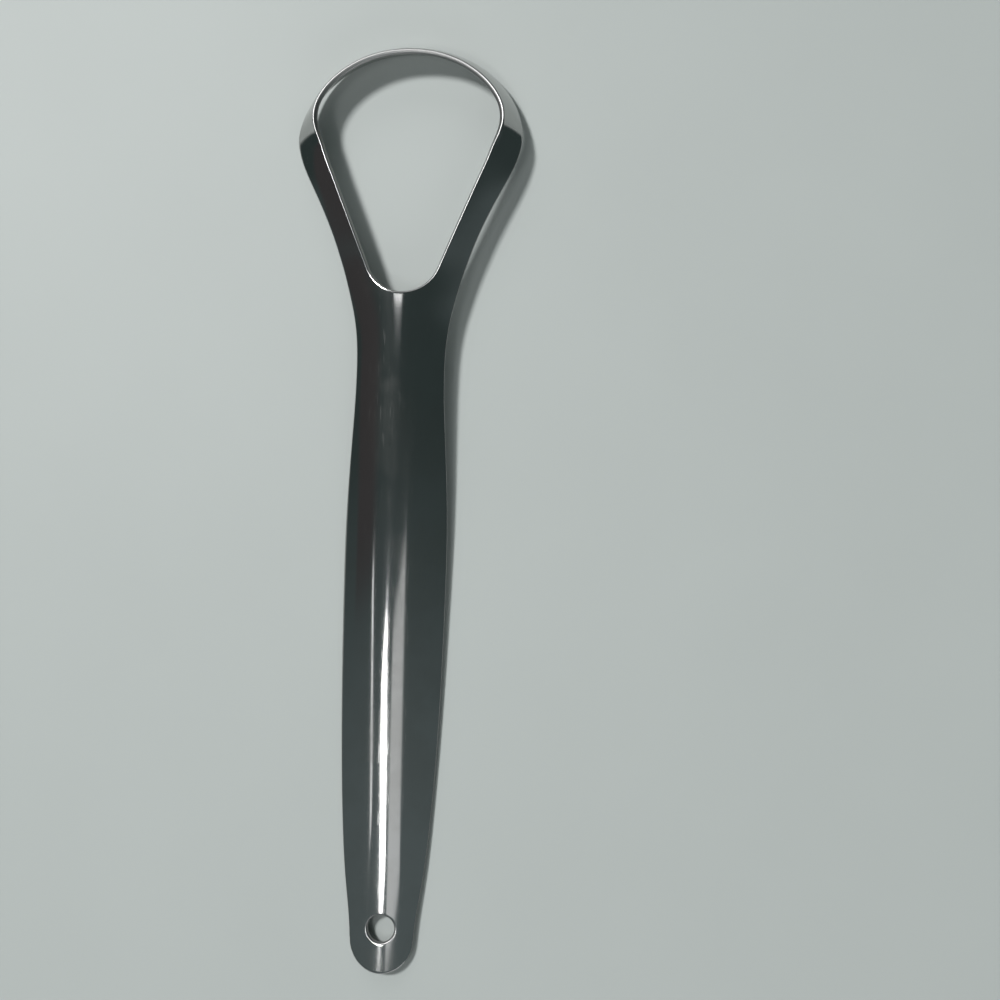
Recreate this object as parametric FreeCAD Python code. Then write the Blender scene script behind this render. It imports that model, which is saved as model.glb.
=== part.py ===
import FreeCAD, Part
import math
import os

V = FreeCAD.Vector

# One sheet of stainless steel, blanked, pressed into an arch and pierced. Sizes in mm.
# The part lies as it rests on a table: handle end at -Y, tip of the head at +Y, crown up.
overall_length = 152.0
sheet_thickness = 0.9

# Handle: an arched strip that swells to a belly and draws in to the neck
end_width = 10.8
belly_width = 17.3
belly_from_end = 62.0
neck_width = 14.8
arch_radius = 13.6
end_crown_height = 2.15
neck_crown_height = 5.9
hang_hole_diameter = 4.6
hang_hole_from_end = 7.5

# Head: two arms that leave the neck and carry the turned-down scraping lip
head_width = 37.0
tip_radius = 19.0
neck_to_head = 34.0
rim_height = 6.4
foot_side_height = 5.85
arm_edge_height = 4.45
shoulder_edge_height = 3.6
opening_foot = 21.8
opening_foot_radius = 6.2
opening_side_angle = 22.7

# Handle outline: place along each stretch and width gained there
end_to_belly_shares = ((0.12, 0.055), (0.24, 0.35), (0.40, 0.64), (0.62, 0.86))
belly_to_neck_shares = ((0.30, 0.96), (0.62, 0.52))
# Arm outline from neck to shoulder: place, width gained, edge height gained, fullness of the crown
arm_shares = ((0.12, 0.014, 0.10, 2.0), (0.235, 0.062, 0.25, 2.0), (0.35, 0.148, 0.50, 2.05),
              (0.48, 0.268, 0.80, 2.1), (0.60, 0.405, 1.0, 2.2), (0.80, 0.694, 1.0, 2.3),
              (0.90, 0.860, 0.80, 2.3), (1.0, 1.0, 0.40, 2.3))
shoulder_width_share = 0.9697
# Lip, turned about the head centre: angle, then upper and lower reach over an oval of the head's half width
# and the tip radius, upper and lower height over the rim height, and how square the rim is cut to the sheet
lip_shares = ((6.8, 0.760, 1.0045, 1.0, 0.50, 0.15), (12.6, 0.8165, 1.0244, 1.0, 0.43, 0.4),
              (18.4, 0.876, 1.0354, 1.0, 0.35, 0.7), (25.3, 0.923, 1.040, 0.995, 0.27, 1.0),
              (35.0, 0.9437, 1.0394, 0.985, 0.18, 1.0), (49.0, 0.937, 1.0306, 0.975, 0.09, 1.0),
              (69.4, 0.9164, 1.0103, 0.97, 0.02, 1.0), (90.0, 0.903, 1.0, 0.97, 0.0, 1.0))
strip_bow_share = 0.025
section_points = 13
strip_points = 5
loft_degree = 5

half_length = overall_length / 2
head_half = head_width / 2
head_from_end = overall_length - tip_radius
neck_from_end = head_from_end - neck_to_head
shoulder_half = shoulder_width_share * head_half
side_angle = math.radians(opening_side_angle)
foot_center_from_end = head_from_end - opening_foot + opening_foot_radius
sides_from_end = foot_center_from_end - opening_foot_radius * math.sin(side_angle)
overrun = rim_height


def edge(points):
    curve = Part.BSplineCurve()
    curve.interpolate(points)
    return curve.toShape()


def wire(top, bottom):
    return Part.Wire([edge(top), Part.makeLine(top[-1], bottom[-1]), edge(bottom[::-1]),
                      Part.makeLine(bottom[0], top[0])])


def arch_wire(from_end, half_width, crown, drop, fullness):
    # Thin arch across the strip: the sheet's upper face, and its lower face along the normals
    y = from_end - half_length
    top, bottom = [], []
    for i in range(section_points):
        share = 2 * i / (section_points - 1) - 1
        x, z = share * half_width, crown - drop * abs(share) ** fullness
        slope = math.copysign(drop * fullness * abs(share) ** (fullness - 1) / half_width, share)
        reach = sheet_thickness / math.hypot(1, slope)
        top.append(V(x, y, z))
        bottom.append(V(x - slope * reach, y, z - reach))
    return wire(top, bottom)


def arch_drop(half_width):
    return arch_radius - math.sqrt(arch_radius ** 2 - half_width ** 2)


def crown_height(from_end):
    return end_crown_height + (neck_crown_height - end_crown_height) * from_end / neck_from_end


def opening_half(from_end):
    # Half width of the opening between its straight sides
    past_foot = from_end - foot_center_from_end
    return opening_foot_radius / math.cos(side_angle) + past_foot * math.tan(side_angle)


def side_height(from_end):
    # The opening's rim climbs from the sides of its foot and levels off at the head
    left = (head_from_end - from_end) / (head_from_end - sides_from_end)
    return rim_height - (rim_height - foot_side_height) * left ** 2


def foot_height(run, rise):
    # Height of the outer face's lower corner when the inner face's corner stands on the table
    foot = sheet_thickness * run / math.hypot(run, rise)
    return sheet_thickness * run / math.hypot(run, rise - foot)


def handle_wires():
    rows = [(0, end_width)]
    for place, gain in end_to_belly_shares:
        rows.append((place * belly_from_end, end_width + gain * (belly_width - end_width)))
    rows.append((belly_from_end, belly_width))
    for place, gain in belly_to_neck_shares:
        rows.append((belly_from_end + place * (neck_from_end - belly_from_end),
                     neck_width + gain * (belly_width - neck_width)))
    rows.append((neck_from_end, neck_width))
    return [arch_wire(d, w / 2, crown_height(d), arch_drop(w / 2), 2) for d, w in rows]


def arm_wires():
    # Below the opening the crown carries on from the handle; beside it the rim sets the height
    neck_edge = neck_crown_height - arch_drop(neck_width / 2)
    wires = []
    for place, gain, lift, fullness in arm_shares:
        d = neck_from_end + place * neck_to_head
        half = neck_width / 2 + gain * (shoulder_half - neck_width / 2)
        start = neck_edge if d < sides_from_end else shoulder_edge_height
        low = start + lift * (arm_edge_height - start)
        if d < sides_from_end:
            drop = crown_height(d) - low
        else:
            drop = (side_height(d) - low) / (1 - (opening_half(d) / half) ** fullness)
        wires.append(arch_wire(d, half, low + drop, drop, fullness))
    return wires


def strip_wire(out, inner, outer, high, low, square):
    # Section of the lip along a ray from the head centre: an outer face, and an inner one square behind it
    up = V(0, 0, 1)
    center = V(0, head_from_end - half_length, 0)
    run, fall = outer - inner, high - low
    length = math.hypot(run, fall)
    along = out * (run / length) - up * (fall / length)
    normal = out * (fall / length) + up * (run / length)
    start = center + out * inner + up * high
    trim = (1 - square) * sheet_thickness * fall / run
    top, bottom = [], []
    for i in range(strip_points):
        share = i / (strip_points - 1)
        bow = normal * (4 * share * (1 - share) * strip_bow_share * length)
        top.append(start + along * (share * length) + bow)
        bottom.append(start + along * (trim + share * (length - trim)) + bow - normal * sheet_thickness)
    return wire(top, bottom)


def lip_wires():
    # Round the lip from the right arm to the left; its lower edge sinks to the table at the tip
    rows = []
    for angle, inner, outer, high, low, square in lip_shares:
        turn = math.radians(angle)
        across, ahead = head_half * math.cos(turn), tip_radius * math.sin(turn)
        reach = math.hypot(across, ahead)
        foot = foot_height((outer - inner) * reach, high * rim_height)
        rest = (inner * reach, outer * reach, high * rim_height, foot + low * rim_height, square)
        rows.append((across / reach, ahead / reach) + rest)
    rows += [(-side,) + tuple(rest) for side, *rest in rows[-2::-1]]
    return [strip_wire(V(side, front, 0), *rest) for side, front, *rest in rows]


def ordered(face):
    # Section of a cut arm as upper face, outer end, lower face, inner end, like the strips
    edges = sorted(face.OuterWire.Edges, key=lambda e: e.Length)
    ends = sorted(edges[:2], key=lambda e: -abs(e.CenterOfMass.x))
    faces = sorted(edges[2:], key=lambda e: -e.CenterOfMass.z)
    return Part.Wire([faces[0], ends[0], faces[1], ends[1]])


def prism(edges):
    face = Part.Face(Part.Wire(edges))
    face.translate(V(0, 0, -overrun))
    return face.extrude(V(0, 0, rim_height + 3 * overrun))


def lines(points):
    return [Part.makeLine(a, b) for a, b in zip(points, points[1:])]


def opening_cutter():
    # Rounded foot of the opening and its straight sides, past the end of the pressed arms
    y = foot_center_from_end - half_length
    tx, ty = opening_foot_radius * math.cos(side_angle), y - opening_foot_radius * math.sin(side_angle)
    far = head_from_end + overrun
    fx, fy = opening_half(far), far - half_length
    foot = Part.Arc(V(-tx, ty, 0), V(0, y - opening_foot_radius, 0), V(tx, ty, 0)).toShape()
    return prism([foot] + lines([V(tx, ty, 0), V(fx, fy, 0), V(-fx, fy, 0), V(-tx, ty, 0)]))


def end_cutter():
    # Everything outside the round end of the handle
    r = end_width / 2
    y = r - half_length
    low = -half_length - overrun
    arc = Part.Arc(V(-r, y, 0), V(0, -half_length, 0), V(r, y, 0)).toShape()
    wide = r + overrun
    return prism([arc] + lines([V(r, y, 0), V(wide, y, 0), V(wide, low, 0), V(-wide, low, 0), V(-wide, y, 0),
                                V(-r, y, 0)]))


pressed = Part.makeLoft(handle_wires() + arm_wires(), True, False)
hole = Part.makeCylinder(hang_hole_diameter / 2, rim_height + 2 * overrun,
                         V(0, hang_hole_from_end - half_length, -overrun))
pressed = pressed.cut(end_cutter()).cut(hole).cut(opening_cutter())
arm_end = head_from_end - half_length
arm_faces = [f for f in pressed.Faces if abs(f.CenterOfMass.y - arm_end) < sheet_thickness / 100]
right, left = sorted(arm_faces, key=lambda f: -f.CenterOfMass.x)
lip = Part.makeLoft([ordered(right)] + lip_wires() + [ordered(left)], True, False, False, loft_degree)
scraper_body = pressed.fuse(lip).removeSplitter()
print("scraper_body valid", scraper_body.isValid(), "solids", len(scraper_body.Solids),
      "volume", round(scraper_body.Volume, 2))

os.makedirs("parts", exist_ok=True)
scraper_body.exportStep("parts/scraper_body.step")
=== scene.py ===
"""Tongue scraper pressed from one sheet of stainless steel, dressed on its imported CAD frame."""
import math

import bmesh
import bpy
import numpy as np
from bpy.props import FloatProperty, FloatVectorProperty, IntProperty, PointerProperty
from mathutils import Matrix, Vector


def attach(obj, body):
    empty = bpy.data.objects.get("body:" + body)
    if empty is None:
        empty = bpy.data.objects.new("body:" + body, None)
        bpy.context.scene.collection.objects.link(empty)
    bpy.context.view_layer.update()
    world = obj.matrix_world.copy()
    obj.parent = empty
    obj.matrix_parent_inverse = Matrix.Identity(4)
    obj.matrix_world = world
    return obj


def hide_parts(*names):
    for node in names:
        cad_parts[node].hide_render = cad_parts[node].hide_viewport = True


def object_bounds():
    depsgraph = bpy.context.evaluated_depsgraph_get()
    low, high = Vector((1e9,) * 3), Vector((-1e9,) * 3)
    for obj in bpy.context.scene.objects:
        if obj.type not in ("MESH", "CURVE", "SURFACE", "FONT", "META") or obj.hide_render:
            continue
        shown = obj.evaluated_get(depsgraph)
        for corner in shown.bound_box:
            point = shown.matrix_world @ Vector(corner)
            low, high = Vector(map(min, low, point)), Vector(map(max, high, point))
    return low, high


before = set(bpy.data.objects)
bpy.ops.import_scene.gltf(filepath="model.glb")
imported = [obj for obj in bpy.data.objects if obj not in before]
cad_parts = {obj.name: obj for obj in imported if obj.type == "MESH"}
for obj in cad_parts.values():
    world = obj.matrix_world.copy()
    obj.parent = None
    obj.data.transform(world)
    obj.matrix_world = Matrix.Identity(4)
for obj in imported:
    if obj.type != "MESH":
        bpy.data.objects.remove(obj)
cad_low, cad_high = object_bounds()

bl_info = {
    "name": "Tongue scraper",
    "version": (1, 0, 0),
    "blender": (4, 5, 0),
    "location": "View3D > Sidebar > Scraper",
    "description": "A one-piece stainless steel tongue scraper on a pale table",
    "category": "Add Mesh",
}

# Handle outline: place along each stretch and share of the width gained there
END_TO_BELLY_SHARES = np.array(((0.12, 0.055), (0.24, 0.35), (0.40, 0.64), (0.62, 0.86)))
BELLY_TO_NECK_SHARES = np.array(((0.30, 0.96), (0.62, 0.52)))
HANDLE_FULLNESS = 2.0
# Arms from neck to shoulder: place, width gained, edge height gained, fullness of the crown
ARM_SHARES = np.array(((0.12, 0.014, 0.10, 2.0), (0.235, 0.062, 0.25, 2.0), (0.35, 0.148, 0.50, 2.05),
                       (0.48, 0.268, 0.80, 2.1), (0.60, 0.405, 1.0, 2.2), (0.80, 0.694, 1.0, 2.3),
                       (0.90, 0.860, 0.80, 2.3), (1.0, 1.0, 0.40, 2.3)))
SHOULDER_WIDTH_SHARE = 0.9697
# Sections of the arms that the strips beside the opening start from
ARM_ROWS_IN_LIP = 4
# Lip about the head centre: angle, upper and lower reach over an oval of the half width and the tip radius,
# upper and lower height over the rim height
LIP_SHARES = np.array(((6.8, 0.760, 1.0045, 1.0, 0.50), (12.6, 0.8165, 1.0244, 1.0, 0.43),
                       (18.4, 0.876, 1.0354, 1.0, 0.35), (25.3, 0.923, 1.040, 0.995, 0.27),
                       (35.0, 0.9437, 1.0394, 0.985, 0.18), (49.0, 0.937, 1.0306, 0.975, 0.09),
                       (69.4, 0.9164, 1.0103, 0.97, 0.02), (90.0, 0.903, 1.0, 0.97, 0.0)))
STRIP_BOW_SHARE = 0.025
# Knot of the strips where they have left the arch of the arm
ARCH_LEFT_AT = 3
# Tumbled edge: points round it, the power that squares its round, and how soon the wear is full
EDGE_POINTS = 11
EDGE_POWER = 0.8
WEAR_RISE = 3
MIRROR = np.array((-1, 1, 1))

# Steel: scale of the dulled patches and the noise where they begin and are full
PATCH_SCALE = 90.0
PATCH_LEVELS = (0.38, 0.66)
# Brushing: its turn, and its scale across, along and through the sheet
BRUSH_TURN = 0.03
BRUSH_SCALE = (2600.0, 45.0, 2600.0)
# Hairline scratches, two runs: turn, scale, and the noise where one begins and is full
SCRATCH_RUNS = ((0.5, (5200.0, 30.0, 5200.0), (0.70, 0.74)), (-0.35, (4700.0, 26.0, 4700.0), (0.71, 0.75)))
# What brushing and scratches add to the roughness and to the height of the grain
BRUSH_ROUGHNESS, SCRATCH_ROUGHNESS = 0.03, 0.05
BRUSH_HEIGHT, SCRATCH_HEIGHT = 0.35, -0.8
GRAIN_STRENGTH, GRAIN_DEPTH = 0.10, 0.00001
NOISE_ROUGHNESS = 0.6

# Table: half its side in metres, how far out it passes into the wall's tone, its roughness, and the scale and
# the tones of its mottle
TABLE_REACH = 1.3
TABLE_FADE = (0.3, 1.0)
TABLE_ROUGHNESS = 0.55
MOTTLE_SCALE = 30.0
MOTTLE_TONES = (0.97, 1.03)

# Lamps, in metres: start, end and width of each batten, place and size of each panel
LONG_LAMP = ((-0.405, -0.263, 1.2), (-0.194, -0.535, 1.2), 0.13)
THIN_LAMP = ((-1.05, -0.20, 1.2), (-0.72, -0.508, 1.2), 0.045)
FOOT_LAMP = ((-0.38, 0.128, 1.2), (-0.19, 0.128, 1.2), 0.02)
KEY_PANEL = ((-0.87, 0.63, 1.72), (0.33, 0.33))
GLOW_PANEL = ((0.10, -0.38, 1.25), (0.38, 0.40))
FILL_FAR_PANEL = ((-0.35, 1.5, 0.95), (1.3, 0.7))
FILL_NEAR_PANEL = ((0.5, -1.5, 0.95), (1.3, 0.7))
# Room: between which shares of a direction's axis one colour gives way to the next
NEAR_TO_FAR_Y = (-0.34, 0.02)
LEFT_TO_RIGHT_X = (-0.75, -0.55)
LEFT_STARTS_Y = (-0.16, -0.10)
LEFT_STARTS_Z = (0.36, 0.43)
HORIZON_Z = (0.0, 0.10)

CAMERA_PLACE = (0.04103, 0.00267, 0.21871)
CAMERA_TURN_DEGREES = (0.16, 6.36, 2.26)
CAMERA_CLIP_START = 0.01


def length(name, description, default):
    """A size in metres that the user may change."""
    return FloatProperty(name=name, description=description, default=default, min=0.0, precision=5,
                         unit="LENGTH")


def colour(name, description, default):
    """A colour that the user may change."""
    return FloatVectorProperty(name=name, description=description, default=default, size=3, subtype="COLOR")


def roughness(name, description, default):
    """A roughness from 0, a mirror, to 1, matt."""
    return FloatProperty(name=name, description=description, default=default, min=0.0, max=1.0,
                         subtype="FACTOR")


def power(name, description, default):
    """A lamp's power in watts."""
    return FloatProperty(name=name, description=description, default=default, min=0.0, precision=3,
                         unit="POWER")


class ScraperSizes(bpy.types.PropertyGroup):
    """Sizes of the pressed sheet, in metres."""
    overall_length: length("Overall length", "Handle end to tip", cad_high.y - cad_low.y)
    head_width: length("Head width", "Across the shoulders", 0.0370)
    sheet: length("Sheet", "Thickness of the steel", 0.0009)
    edge_round: length("Edge round", "How far the tumbled edge is rounded in from the cut", 0.00028)
    end_width: length("End width", "Across the round end of the handle", 0.0108)
    belly_width: length("Belly width", "Across the widest part of the handle", 0.0173)
    belly_from_end: length("Belly place", "Belly from the handle end", 0.062)
    neck_width: length("Neck width", "Across the handle below the arms", 0.0148)
    neck_from_end: length("Neck place", "Neck from the handle end", 0.099)
    arch_radius: length("Arch radius", "Radius of the handle's arched section", 0.0136)
    end_crown: length("End crown", "Height of the crown at the handle end", 0.00215)
    neck_crown: length("Neck crown", "Height of the crown at the neck", 0.0059)
    hole_diameter: length("Hole", "Diameter of the hang hole", 0.0046)
    hole_from_end: length("Hole place", "Hang hole from the handle end", 0.0075)
    head_from_end: length("Head place", "Centre of the lip's turn from the handle end", 0.133)
    rim_height: length("Rim height", "Height of the opening's rim at the head", 0.0064)
    foot_side: length("Foot side", "Height of the rim at the sides of the opening's foot", 0.00585)
    arm_edge: length("Arm edge", "Height of the arms' outer edge", 0.00445)
    shoulder_edge: length("Shoulder edge", "Height of the outer edge at the shoulder", 0.0036)
    foot_from_end: length("Foot place", "Foot of the opening from the handle end", 0.1112)
    foot_radius: length("Foot radius", "Radius of the opening's foot", 0.0062)
    side_angle: FloatProperty(name="Side angle", description="Lean of the opening's straight sides",
                              default=math.radians(22.7), subtype="ANGLE")
    across: IntProperty(name="Points across", description="Grid points from the crown to an edge",
                        default=25, min=8)
    along: IntProperty(name="Points along", description="Grid points along the handle and round the lip",
                       default=180, min=40)


class SteelFinish(bpy.types.PropertyGroup):
    """Colours and polish of the steel."""
    steel: colour("Steel", "Colour of the polished sheet", (0.50, 0.50, 0.495))
    steel_warm: colour("Warm steel", "Colour where the polish has dulled", (0.46, 0.457, 0.447))
    steel_edge: colour("Edge steel", "Colour of the tumbled edge", (0.30, 0.30, 0.297))
    polish: roughness("Polish", "Roughness of the brightest polish", 0.07)
    dulled: roughness("Dulled", "Roughness where hands have dulled it", 0.10)
    cut_edge: roughness("Cut edge", "Roughness of the tumbled edge", 0.38)


class StageLook(bpy.types.PropertyGroup):
    """Table, room, lamps and lens."""
    table: colour("Table", "Colour of the pale table", (0.46, 0.493, 0.478))
    room_left: colour("Room, left", "Dim side of the room that the left flank mirrors",
                      (0.062, 0.059, 0.060))
    room_right: colour("Room, right", "Dim side of the room that the right flank mirrors",
                       (0.042, 0.058, 0.057))
    room_near: colour("Room, near", "Room beyond the handle end that the handle mirrors",
                      (0.123, 0.151, 0.154))
    horizon: colour("Horizon", "Pale wall low behind the table", (0.42, 0.45, 0.44))
    streak_power: power("Streak", "Power of the long lamp above the handle", 1.7)
    key_power: power("Key", "Power of the soft key on the upper left", 31.5)
    fill_power: power("Fill", "Power of each soft panel", 4.4)
    glow_power: power("Glow", "Power of the dim panel beside the long lamp", 0.31)
    line_power: power("Line", "Power of the thin lamp on the left", 0.12)
    foot_power: power("Foot", "Power of the small lamp that the opening's foot mirrors", 0.035)
    lens: FloatProperty(name="Lens", description="Focal length on a 36 mm sensor, in mm", default=48.4,
                        min=1.0, unit="CAMERA")


def natural_spline(knots, values, places):
    """Smooth curve through values at the knots: cubic on each span, with slope and bend continuous at each
    knot and no bend at the ends."""
    knots, values = np.asarray(knots, float), np.asarray(values, float)
    values = values.reshape(len(knots), -1)
    step, count = np.diff(knots), len(knots)
    matrix, right = np.zeros((count, count)), np.zeros_like(values)
    matrix[0, 0] = matrix[-1, -1] = 1
    i = np.arange(1, count - 1)
    matrix[i, i - 1], matrix[i, i], matrix[i, i + 1] = step[:-1], 2 * (step[:-1] + step[1:]), step[1:]
    right[1:-1] = 6 * np.diff(np.diff(values, axis=0) / step[:, None], axis=0)
    bend = np.linalg.solve(matrix, right)
    flat = np.asarray(places, float).ravel()
    j = np.clip(np.searchsorted(knots, flat) - 1, 0, count - 2)
    after, before, span = (knots[j + 1] - flat)[:, None], (flat - knots[j])[:, None], step[j][:, None]
    curve = ((bend[j] * after ** 3 + bend[j + 1] * before ** 3) / (6 * span)
             + (values[j] / span - bend[j] * span / 6) * after
             + (values[j + 1] / span - bend[j + 1] * span / 6) * before)
    return curve.reshape(np.shape(places) + (values.shape[1],))


def unit(vectors):
    """Vectors over their lengths."""
    return vectors / np.linalg.norm(vectors, axis=-1, keepdims=True)


def rays(inner, outer, count):
    """Grid of straight rays from each inner point to its outer point."""
    share = np.linspace(0, 1, count)[None, :, None]
    return inner[:, None, :] + (outer - inner)[:, None, :] * share


class PressedSheet:
    """Upper face of the pressed sheet. Places run from the handle end; x is across the strip."""

    def __init__(self, sizes):
        self.s = s = sizes
        self.head_half = s.head_width / 2
        self.foot_center = s.foot_from_end + s.foot_radius
        self.end_cut = s.hole_from_end + s.hole_diameter
        self.foot_cut = s.foot_from_end - s.hole_diameter
        self.sides_from_end = self.foot_center - s.foot_radius * np.sin(s.side_angle)
        self.tip_radius = s.overall_length - s.head_from_end
        self.rows = self.section_rows()

    def arch_drop(self, half):
        """Fall of a circular arch at half its width."""
        return self.s.arch_radius - np.sqrt(self.s.arch_radius ** 2 - half ** 2)

    def crown_line(self, place):
        """Crown of the handle: a straight rise from the end to the neck and on under the opening."""
        return self.s.end_crown + (self.s.neck_crown - self.s.end_crown) * place / self.s.neck_from_end

    def opening_half(self, place):
        """Half width of the opening between its straight sides."""
        lean = self.s.side_angle
        return self.s.foot_radius / np.cos(lean) + (place - self.foot_center) * np.tan(lean)

    def side_height(self, place):
        """Rim of the opening: a climb from the sides of its foot that levels off at the head, as a square."""
        s = self.s
        left = (s.head_from_end - place) / (s.head_from_end - self.sides_from_end)
        return s.rim_height - (s.rim_height - s.foot_side) * left ** 2

    def handle_rows(self):
        """Sections of the handle, arcs of one circle: place, half width, crown, fall and fullness."""
        s = self.s
        belly_to_neck = s.neck_from_end - s.belly_from_end
        place = np.concatenate(([0], END_TO_BELLY_SHARES[:, 0] * s.belly_from_end, [s.belly_from_end],
                                s.belly_from_end + BELLY_TO_NECK_SHARES[:, 0] * belly_to_neck,
                                [s.neck_from_end]))
        width = np.concatenate(([s.end_width],
                                s.end_width + END_TO_BELLY_SHARES[:, 1] * (s.belly_width - s.end_width),
                                [s.belly_width],
                                s.neck_width + BELLY_TO_NECK_SHARES[:, 1] * (s.belly_width - s.neck_width),
                                [s.neck_width]))
        return np.column_stack((place, width / 2, self.crown_line(place), self.arch_drop(width / 2),
                                np.full(len(place), HANDLE_FULLNESS)))

    def section_rows(self):
        """Arched sections from the handle end to the head centre, in the handle's columns. Below the opening
        the crown carries on from the handle; beside it the arch passes through the rim."""
        s = self.s
        gained_place, gained_width, gained_height, fullness = ARM_SHARES.T
        place = s.neck_from_end + gained_place * (s.head_from_end - s.neck_from_end)
        half = s.neck_width / 2 + gained_width * (SHOULDER_WIDTH_SHARE * self.head_half - s.neck_width / 2)
        below = place < self.sides_from_end
        start = np.where(below, s.neck_crown - self.arch_drop(s.neck_width / 2), s.shoulder_edge)
        low = start + gained_height * (s.arm_edge - start)
        beside = np.clip(self.opening_half(place) / half, 0, 1) ** fullness
        fall = np.where(below, self.crown_line(place) - low, (self.side_height(place) - low) / (1 - beside))
        return np.vstack((self.handle_rows(), np.column_stack((place, half, low + fall, fall, fullness))))

    def height(self, x, place):
        """Height of the arch: the crown less the fall times the share of the half width to the power of
        fullness."""
        row = natural_spline(self.rows[:, 0], self.rows[:, 1:], place)
        return row[..., 1] - row[..., 2] * np.abs(x / row[..., 0]) ** row[..., 3]

    def normal(self, x, place):
        """Upward normal from the arch's two slopes, taken across a small step."""
        h = self.s.sheet / 100
        across = (self.height(x + h, place) - self.height(x - h, place)) / (2 * h)
        along = (self.height(x, place + h) - self.height(x, place - h)) / (2 * h)
        across = np.where(np.abs(x) < h / 1000, 0, across)
        return unit(np.stack((-across, -along, np.ones_like(across)), -1))

    def outline_half(self, place):
        """Half width of the sheet less the edge round: a half circle at the handle end, then the sections'
        outline."""
        s = self.s
        r = s.end_width / 2
        side = natural_spline(self.rows[:, 0], self.rows[:, 1], place)[..., 0] - s.edge_round
        cap = np.sqrt(np.clip((r - s.edge_round) ** 2 - np.clip(r - place, 0, None) ** 2, 0, None))
        return np.where(place < r, cap, side)

    def outline(self, place):
        """Plan points of the outline: half width and place."""
        return np.column_stack((self.outline_half(place), place))

    def cross_line(self, place):
        """Points from the crown to the edge on one line across the handle."""
        x = np.linspace(0, 1, self.s.across) * self.outline_half(np.array(place))
        return np.column_stack((x, np.full(self.s.across, place)))

    def raised(self, plan):
        """A plan grid lifted onto the arch, with its normals."""
        x, place = plan[..., 0], plan[..., 1]
        return np.dstack((plan, self.height(x, place))), self.normal(x, place)

    def end_patch(self):
        """Rays from the hang hole out to the round end, the sides and the first line across the handle, and
        how many of them reach a free edge."""
        s = self.s
        r, turn = s.end_width / 2, np.linspace(-np.pi / 2, 0, 2 * s.across)
        cap = np.column_stack((np.cos(turn), np.sin(turn))) * (r - s.edge_round) + (0, r)
        side = self.outline(np.linspace(r, self.end_cut, s.across))[1:]
        outer = np.vstack((cap, side, self.cross_line(self.end_cut)[-2::-1]))
        outer[0, 0] = 0
        even = np.linspace(-np.pi / 2, np.pi / 2, len(outer))
        turn = (np.arctan2(outer[:, 1] - s.hole_from_end, outer[:, 0]) + even) / 2
        ring = np.column_stack((np.cos(turn), np.sin(turn)))
        ring[[0, -1], 0] = 0
        inner = ring * (s.hole_diameter / 2 + s.edge_round) + (0, s.hole_from_end)
        return self.raised(rays(inner, outer, s.across)), len(cap) + len(side)

    def handle_patch(self):
        """Lines across the handle, from the hang hole to the foot of the opening."""
        place = np.linspace(self.end_cut, self.foot_cut, self.s.along)
        share = np.linspace(0, 1, self.s.across)
        x = self.outline_half(place)[:, None] * share
        return self.raised(np.dstack((x, np.broadcast_to(place[:, None], x.shape))))

    def foot_patch(self):
        """Rays from the opening's round foot out to the last line across the handle and the sides."""
        s = self.s
        r = s.foot_radius + s.edge_round
        seam = self.foot_center - r * np.sin(s.side_angle)
        side = self.outline(np.linspace(self.foot_cut, seam, s.across))[1:]
        outer = np.vstack((self.cross_line(self.foot_cut), side))
        turn = np.linspace(-np.pi / 2, -s.side_angle, len(outer))
        ring = np.column_stack((np.cos(turn), np.sin(turn)))
        ring[0, 0] = 0
        return self.raised(rays(ring * r + (0, self.foot_center), outer, s.across))

    def arm_points(self):
        """Points of the rim and of the outer edge at each section of the arms beside the opening."""
        s = self.s
        r = s.foot_radius + s.edge_round
        seam = self.foot_center - r * np.sin(s.side_angle)
        place = np.concatenate(([seam], self.rows[-ARM_ROWS_IN_LIP:, 0]))
        x = self.opening_half(place) + s.edge_round / np.cos(s.side_angle)
        far = self.outline_half(place)
        return (np.column_stack((x, place, self.height(x, place))),
                np.column_stack((far, place, self.height(far, place))))

    def lip_points(self):
        """Points of the rim and of the outer edge at each section of the lip: shares of an oval about the
        head centre, with the inner face's lower corner on the table at the tip."""
        s = self.s
        turn, upper, lower, high, low = LIP_SHARES.T
        turn = np.radians(turn)
        oval = np.column_stack((self.head_half * np.cos(turn), self.tip_radius * np.sin(turn)))
        run, rise = (lower - upper) * np.linalg.norm(oval, axis=1), high * s.rim_height
        stand = s.sheet * run / np.hypot(run, rise)
        stand = s.sheet * run / np.hypot(run, rise - stand)
        center = (0, s.head_from_end)
        top = np.column_stack((oval * upper[:, None] + center, rise))
        bottom = np.column_stack((oval * lower[:, None] + center, stand + low * s.rim_height))
        inset = unit(bottom - top) * s.edge_round
        return top + inset, bottom - inset

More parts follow.
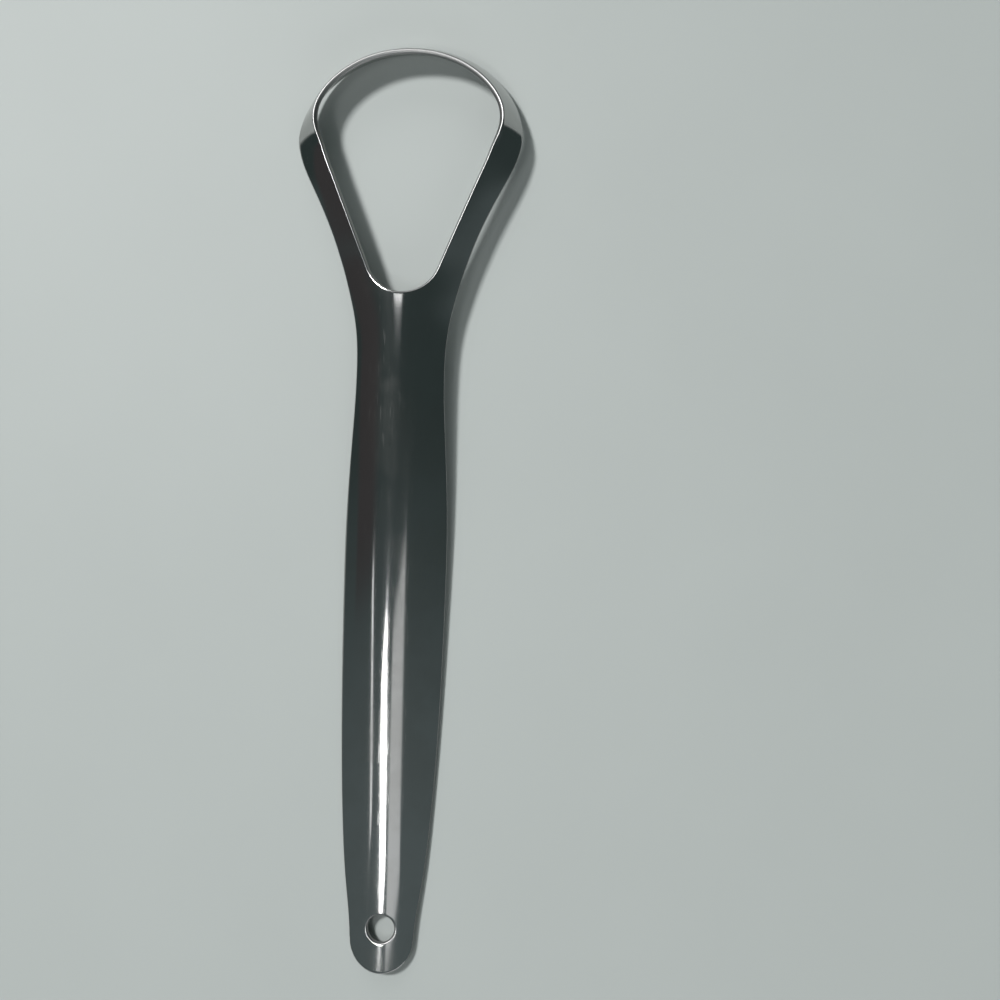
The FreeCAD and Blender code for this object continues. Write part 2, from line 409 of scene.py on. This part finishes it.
    def lip_patch(self):
        """Bowed strips between two smooth curves, the rim and the outer edge, from the arm to the tip. Beside
        the foot the strips start on the arch and ease off it."""
        s = self.s
        rim, edge = (np.vstack(pair) for pair in zip(self.arm_points(), self.lip_points()))
        rim_loop = np.vstack((rim, rim[-2::-1] * MIRROR))
        edge_loop = np.vstack((edge, edge[-2::-1] * MIRROR))
        steps = np.linalg.norm(np.diff((rim_loop + edge_loop) / 2, axis=0), axis=1)
        knots = np.concatenate(([0], np.cumsum(steps)))
        places = np.linspace(0, knots[len(rim) - 1], s.along)
        rim, edge = natural_spline(knots, rim_loop, places), natural_spline(knots, edge_loop, places)
        rim[-1, 0] = edge[-1, 0] = 0
        share = np.linspace(0, 1, s.across)
        out = np.cross(edge - rim, np.gradient((rim + edge) / 2, axis=0))
        out = unit(out) * np.linalg.norm(edge - rim, axis=1, keepdims=True)
        out *= np.sign(out[0, 2])
        ease = np.clip(places / knots[ARCH_LEFT_AT], 0, 1)[:, None]
        ease = ease * ease * (3 - 2 * ease)
        bow = (4 * share * (1 - share) * STRIP_BOW_SHARE)[None, :, None] * out[:, None, :]
        grid = rays(rim, edge, s.across) + bow * ease[..., None]
        place = np.minimum(grid[..., 1], s.head_from_end)
        grid[..., 2] = (1 - ease) * self.height(grid[..., 0], place) + ease * grid[..., 2]
        down_strip, along_lip = (np.gradient(grid, axis=axis, edge_order=2) for axis in (1, 0))
        normal = unit(np.cross(down_strip, along_lip))
        normal *= np.sign(normal[0, 0, 2])
        normal[-1, :, 0] = 0
        normal = (1 - ease[..., None]) * self.normal(grid[..., 0], place) + ease[..., None] * normal
        return grid, unit(normal)


def grid_quads(rows, columns, first):
    """Corner numbers of the quads of a grid whose points are numbered row by row."""
    index = first + np.arange(rows * columns).reshape(rows, columns)
    return np.stack((index[:-1, :-1], index[1:, :-1], index[1:, 1:], index[:-1, 1:]), -1).reshape(-1, 4)


def rolled_edge(points, normals, inside, sheet, reach):
    """Tumbled edge along a line of the upper face: a rounded square profile, half the sheet high and reach
    wide, carried round from the upper face to the lower one."""
    along = np.gradient(points, axis=0)
    along[[0, -1], 1:] *= np.abs(points[[0, -1], :1]) > sheet / 1000
    out = unit(np.cross(along, normals))
    out *= np.sign(np.sum(out * (points - inside), axis=1, keepdims=True))
    turn = np.linspace(np.pi / 2, -np.pi / 2, EDGE_POINTS)
    up = np.sign(np.sin(turn)) * np.abs(np.sin(turn)) ** EDGE_POWER - 1
    side = np.abs(np.cos(turn)) ** EDGE_POWER
    side[[0, -1]] = 0
    return (points[:, None, :] + up[None, :, None] * normals[:, None, :] * sheet / 2
            + side[None, :, None] * out[:, None, :] * reach)


def edge_line(*pieces):
    """One line along an edge, from columns of the patches that it borders. Each piece gives a patch, the
    numbers of its edge column and of the next one in, and its rows. The line holds points, normals and points
    inside."""
    columns = [(points[rows, edge], normals[rows, edge], points[rows, inner])
               for (points, normals), edge, inner, rows in pieces]
    return [np.vstack(parts) for parts in zip(*columns)]


def sheet_grids(sizes):
    """Every grid of the right half of the sheet: upper faces, lower faces and rolled edges, with the wear of
    each point, which rises from either face round an edge as a parabola and stops at 1."""
    face = PressedSheet(sizes)
    end, free_rays = face.end_patch()
    handle, foot, lip = face.handle_patch(), face.foot_patch(), face.lip_patch()
    upper = (end, handle, foot, lip)
    grids = [points for points, _ in upper] + [points - normals * sizes.sheet for points, normals in upper]
    wear = [np.zeros(points.shape[:2]) for points in grids]
    every, after_first = slice(0, None), slice(1, None)
    outline = edge_line((end, -1, -2, slice(0, free_rays)), (handle, -1, -2, after_first),
                        (foot, -1, -2, slice(sizes.across, None)), (lip, -1, -2, after_first))
    opening = edge_line((foot, 0, 1, every), (lip, 0, 1, after_first))
    hole = edge_line((end, 0, 1, every))
    turn = np.linspace(0, 2, EDGE_POINTS)
    worn = np.minimum(1, WEAR_RISE * turn * (2 - turn))
    for points, normals, inside in (outline, opening, hole):
        grids.append(rolled_edge(points, normals, inside, sizes.sheet, sizes.edge_round))
        wear.append(np.broadcast_to(worn, grids[-1].shape[:2]))
    return grids, wear


def sheet_mesh(name, sizes):
    """Both halves of the sheet as one closed mesh: the right half's grids and their mirror, merged along the
    crown."""
    grids, wear = sheet_grids(sizes)
    starts = np.concatenate(([0], np.cumsum([g.shape[0] * g.shape[1] for g in grids])))
    half = np.vstack([g.reshape(-1, 3) for g in grids])
    quads = np.vstack([grid_quads(*g.shape[:2], first) for g, first in zip(grids, starts)])
    points = np.vstack((half, half * MIRROR))
    points[:, 1] -= sizes.overall_length / 2
    faces = np.vstack((quads, quads[:, ::-1] + len(half)))
    mesh = bpy.data.meshes.new(name)
    mesh.from_pydata(points, [], faces)
    edge_wear = mesh.attributes.new("edge_wear", "FLOAT", "POINT")
    half_wear = np.concatenate([w.ravel() for w in wear])
    edge_wear.data.foreach_set("value", np.tile(half_wear, 2).astype(np.float32))
    work = bmesh.new()
    work.from_mesh(mesh)
    bmesh.ops.remove_doubles(work, verts=work.verts, dist=sizes.sheet / 500)
    bmesh.ops.recalc_face_normals(work, faces=work.faces)
    work.to_mesh(mesh)
    work.free()
    mesh.polygons.foreach_set("use_smooth", np.ones(len(mesh.polygons), bool))
    return mesh


def feed(tree, socket, value):
    """Link a socket to another node's output, or set its value."""
    if isinstance(value, bpy.types.NodeSocket):
        tree.links.new(value, socket)
    else:
        socket.default_value = value


def add_node(tree, kind, place, **inputs):
    """A shader node with its inputs set or linked by name."""
    node = tree.nodes.new(kind)
    node.location = place
    for name, value in inputs.items():
        feed(tree, node.inputs[name.replace("_", " ")], value)
    return node


def smooth_step(tree, place, value, low, high, bottom=0.0, top=1.0):
    """A value between low and high carried to one between bottom and top, along a smooth step."""
    node = add_node(tree, "ShaderNodeMapRange", place, Value=value, From_Min=low, From_Max=high,
                    To_Min=bottom, To_Max=top)
    node.interpolation_type = "SMOOTHSTEP"
    return node.outputs["Result"]


def arithmetic(tree, place, operation, *values):
    """One step of arithmetic on two or three values."""
    node = add_node(tree, "ShaderNodeMath", place)
    node.operation = operation
    for socket, value in zip(node.inputs, values):
        feed(tree, socket, value)
    return node.outputs["Value"]


def blend(tree, place, factor, first, second):
    """One colour giving way to another as the factor goes from 0 to 1."""
    node = add_node(tree, "ShaderNodeMix", place)
    node.data_type = "RGBA"
    feed(tree, node.inputs["Factor"], factor)
    for name, value in (("A", first), ("B", second)):
        feed(tree, node.inputs[name], value if isinstance(value, bpy.types.NodeSocket) else (*value, 1))
    return node.outputs["Result"]


def polished_steel(look):
    """Pressed stainless steel: mirror polish with long fine brushing, stray hairline scratches, dulled
    patches and a darker, duller tumbled edge."""
    material = bpy.data.materials.new("polished_steel")
    material.use_nodes = True
    tree = material.node_tree
    shader = tree.nodes["Principled BSDF"]
    shader.inputs["Metallic"].default_value = 1.0
    place = add_node(tree, "ShaderNodeTexCoord", (-1600, 0)).outputs["Object"]

    def noise(vector, scale, detail, y):
        """Cloudy noise, finer with scale and detail."""
        node = add_node(tree, "ShaderNodeTexNoise", (-1200, y), Vector=vector, Scale=scale, Detail=detail,
                        Roughness=NOISE_ROUGHNESS)
        return node.outputs["Fac"]

    def streaks(turn, scale, detail, y):
        """Noise turned about the vertical and drawn out by its own scale along each axis."""
        mapping = add_node(tree, "ShaderNodeMapping", (-1400, y), Vector=place, Rotation=(0, 0, turn),
                           Scale=scale)
        return noise(mapping.outputs["Vector"], 1.0, detail, y)

    patches = smooth_step(tree, (-900, 500), noise(place, PATCH_SCALE, 4.0, 500), *PATCH_LEVELS)
    brushing = streaks(BRUSH_TURN, BRUSH_SCALE, 3.0, 200)
    runs = [smooth_step(tree, (-900, y), streaks(turn, scale, 1.0, y), *levels)
            for (turn, scale, levels), y in zip(SCRATCH_RUNS, (-100, -400))]
    scratches = arithmetic(tree, (-650, -250), "MAXIMUM", *runs)
    wear = add_node(tree, "ShaderNodeAttribute", (-900, 800))
    wear.attribute_name = "edge_wear"
    worn = wear.outputs["Fac"]

    rough = smooth_step(tree, (-650, 450), patches, 0.0, 1.0, look.polish, look.dulled)
    rough = arithmetic(tree, (-420, 300), "MULTIPLY_ADD", brushing, BRUSH_ROUGHNESS, rough)
    rough = arithmetic(tree, (-240, 200), "MULTIPLY_ADD", scratches, SCRATCH_ROUGHNESS, rough)
    edge_rough = smooth_step(tree, (-650, 800), worn, 0.0, 1.0, 0.0, look.cut_edge)
    feed(tree, shader.inputs["Roughness"], arithmetic(tree, (-60, 300), "MAXIMUM", rough, edge_rough))

    tint = blend(tree, (-240, 700), patches, look.steel, look.steel_warm)
    feed(tree, shader.inputs["Base Color"], blend(tree, (-60, 700), worn, tint, look.steel_edge))

    grain = arithmetic(tree, (-420, -380), "MULTIPLY", scratches, SCRATCH_HEIGHT)
    grain = arithmetic(tree, (-420, -200), "MULTIPLY_ADD", brushing, BRUSH_HEIGHT, grain)
    bump = add_node(tree, "ShaderNodeBump", (-200, -250), Strength=GRAIN_STRENGTH, Distance=GRAIN_DEPTH,
                    Height=grain)
    feed(tree, shader.inputs["Normal"], bump.outputs["Normal"])
    return material


def pale_table(look):
    """Matt pale table top with a faint mottle, which far out passes into the tone of the pale wall."""
    material = bpy.data.materials.new("pale_table")
    material.use_nodes = True
    tree = material.node_tree
    shader = tree.nodes["Principled BSDF"]
    shader.inputs["Roughness"].default_value = TABLE_ROUGHNESS
    place = add_node(tree, "ShaderNodeTexCoord", (-900, 0)).outputs["Object"]
    mottle = add_node(tree, "ShaderNodeTexNoise", (-700, 0), Vector=place, Scale=MOTTLE_SCALE, Detail=5.0)
    tones = [[min(1.0, tone * c) for c in look.table] for tone in MOTTLE_TONES]
    feed(tree, shader.inputs["Base Color"], blend(tree, (-400, 0), mottle.outputs["Fac"], *tones))
    away = add_node(tree, "ShaderNodeVectorMath", (-700, -300), Vector=place)
    away.operation = "LENGTH"
    fade = smooth_step(tree, (-400, -300), away.outputs["Value"], *TABLE_FADE)
    wall = add_node(tree, "ShaderNodeEmission", (0, -300), Color=(*look.horizon, 1), Strength=1.0)
    join = add_node(tree, "ShaderNodeMixShader", (300, 0))
    for socket, value in zip(join.inputs, (fade, shader.outputs["BSDF"], wall.outputs["Emission"])):
        feed(tree, socket, value)
    feed(tree, tree.nodes["Material Output"].inputs["Surface"], join.outputs["Shader"])
    return material


class SCRAPER_OT_body(bpy.types.Operator):
    """Press the scraper from one sheet and polish it"""
    bl_idname = "scraper.body"
    bl_label = "Scraper body"

    def execute(self, context):
        mesh = sheet_mesh("pressed_scraper", context.scene.scraper_sizes)
        body = bpy.data.objects.new("pressed_scraper", mesh)
        context.scene.collection.objects.link(body)
        mesh.materials.append(polished_steel(context.scene.scraper_finish))
        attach(body, "root")
        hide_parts("scraper_body")
        return {"FINISHED"}


class SCRAPER_OT_stage(bpy.types.Operator):
    """Lay the table, hang the lamps and set the camera"""
    bl_idname = "scraper.stage"
    bl_label = "Stage"

    def lamp(self, context, name, place, size, lamp_power):
        """A rectangular lamp at a place, facing down."""
        data = bpy.data.lights.new(name, "AREA")
        data.shape, data.energy = "RECTANGLE", lamp_power
        data.size, data.size_y = size
        lamp = bpy.data.objects.new(name, data)
        lamp.location = place
        context.scene.collection.objects.link(lamp)
        return lamp

    def panel(self, context, name, lamp_power, place, size):
        """A soft panel turned to face the scraper."""
        lamp = self.lamp(context, name, place, size, lamp_power)
        lamp.rotation_euler = lamp.location.to_track_quat("Z", "Y").to_euler()

    def batten(self, context, name, lamp_power, start, end, width):
        """A long lamp from one point to another, facing down."""
        start, end = Vector(start), Vector(end)
        run = end - start
        lamp = self.lamp(context, name, (start + end) / 2, (width, run.length), lamp_power)
        lamp.rotation_euler = (0, 0, math.atan2(-run.x, run.y))

    def room(self, look):
        """A dim room, warmer on the left and paler toward the handle end, with a pale wall low down."""
        world = bpy.data.worlds.new("dim_room")
        world.use_nodes = True
        tree = world.node_tree
        place = add_node(tree, "ShaderNodeTexCoord", (-900, 0)).outputs["Generated"]
        axes = add_node(tree, "ShaderNodeSeparateXYZ", (-700, 0), Vector=place).outputs

        def share(axis, ends, y):
            """How far a direction's axis has gone from one end to the other."""
            return smooth_step(tree, (-400, y), axes[axis], *ends)

        side = blend(tree, (-200, 150), share("Y", NEAR_TO_FAR_Y, 150), look.room_near, look.room_right)
        warm = blend(tree, (-100, 300), share("X", LEFT_TO_RIGHT_X, 300), look.room_left, side)
        warm = blend(tree, (-50, 450), share("Y", LEFT_STARTS_Y, 450), side, warm)
        side = blend(tree, (0, 300), share("Z", LEFT_STARTS_Z, 600), side, warm)
        wall = blend(tree, (100, 0), share("Z", HORIZON_Z, -150), look.horizon, side)
        feed(tree, tree.nodes["Background"].inputs["Color"], wall)
        return world

    def lay_table(self, context, look):
        """A square table top at z = 0."""
        reach = TABLE_REACH
        corners = [(-reach, -reach, 0), (reach, -reach, 0), (reach, reach, 0), (-reach, reach, 0)]
        mesh = bpy.data.meshes.new("table")
        mesh.from_pydata(corners, [], [(0, 1, 2, 3)])
        mesh.materials.append(pale_table(look))
        table = bpy.data.objects.new("table", mesh)
        context.scene.collection.objects.link(table)

    def execute(self, context):
        scene, look = context.scene, context.scene.scraper_stage
        self.lay_table(context, look)
        self.batten(context, "long_lamp", look.streak_power, *LONG_LAMP)
        self.panel(context, "key", look.key_power, *KEY_PANEL)
        self.batten(context, "thin_lamp", look.line_power, *THIN_LAMP)
        self.panel(context, "glow", look.glow_power, *GLOW_PANEL)
        self.batten(context, "foot_lamp", look.foot_power, *FOOT_LAMP)
        self.panel(context, "fill_far", look.fill_power, *FILL_FAR_PANEL)
        self.panel(context, "fill_near", look.fill_power, *FILL_NEAR_PANEL)
        scene.world = self.room(look)
        camera = bpy.data.objects.new("camera", bpy.data.cameras.new("camera"))
        camera.location = CAMERA_PLACE
        camera.rotation_euler = [math.radians(a) for a in CAMERA_TURN_DEGREES]
        camera.data.lens = look.lens
        camera.data.clip_start = CAMERA_CLIP_START
        scene.collection.objects.link(camera)
        scene.camera = camera
        scene.view_settings.view_transform = "Standard"
        return {"FINISHED"}


class SCRAPER_PT_panel(bpy.types.Panel):
    """Sizes, finish and stage of the scraper"""
    bl_idname = "SCRAPER_PT_panel"
    bl_label = "Tongue scraper"
    bl_space_type = "VIEW_3D"
    bl_region_type = "UI"
    bl_category = "Scraper"

    def draw(self, context):
        for group in (context.scene.scraper_sizes, context.scene.scraper_finish, context.scene.scraper_stage):
            box = self.layout.box()
            for name in group.__annotations__:
                box.prop(group, name)
        self.layout.operator(SCRAPER_OT_body.bl_idname)
        self.layout.operator(SCRAPER_OT_stage.bl_idname)


CLASSES = (ScraperSizes, SteelFinish, StageLook, SCRAPER_OT_body, SCRAPER_OT_stage, SCRAPER_PT_panel)


def register():
    for cls in CLASSES:
        bpy.utils.register_class(cls)
    bpy.types.Scene.scraper_sizes = PointerProperty(type=ScraperSizes)
    bpy.types.Scene.scraper_finish = PointerProperty(type=SteelFinish)
    bpy.types.Scene.scraper_stage = PointerProperty(type=StageLook)


def unregister():
    del bpy.types.Scene.scraper_stage, bpy.types.Scene.scraper_finish, bpy.types.Scene.scraper_sizes
    for cls in reversed(CLASSES):
        bpy.utils.unregister_class(cls)


def main():
    register()
    bpy.ops.scraper.body()
    bpy.ops.scraper.stage()


if __name__ == "__main__":
    main()
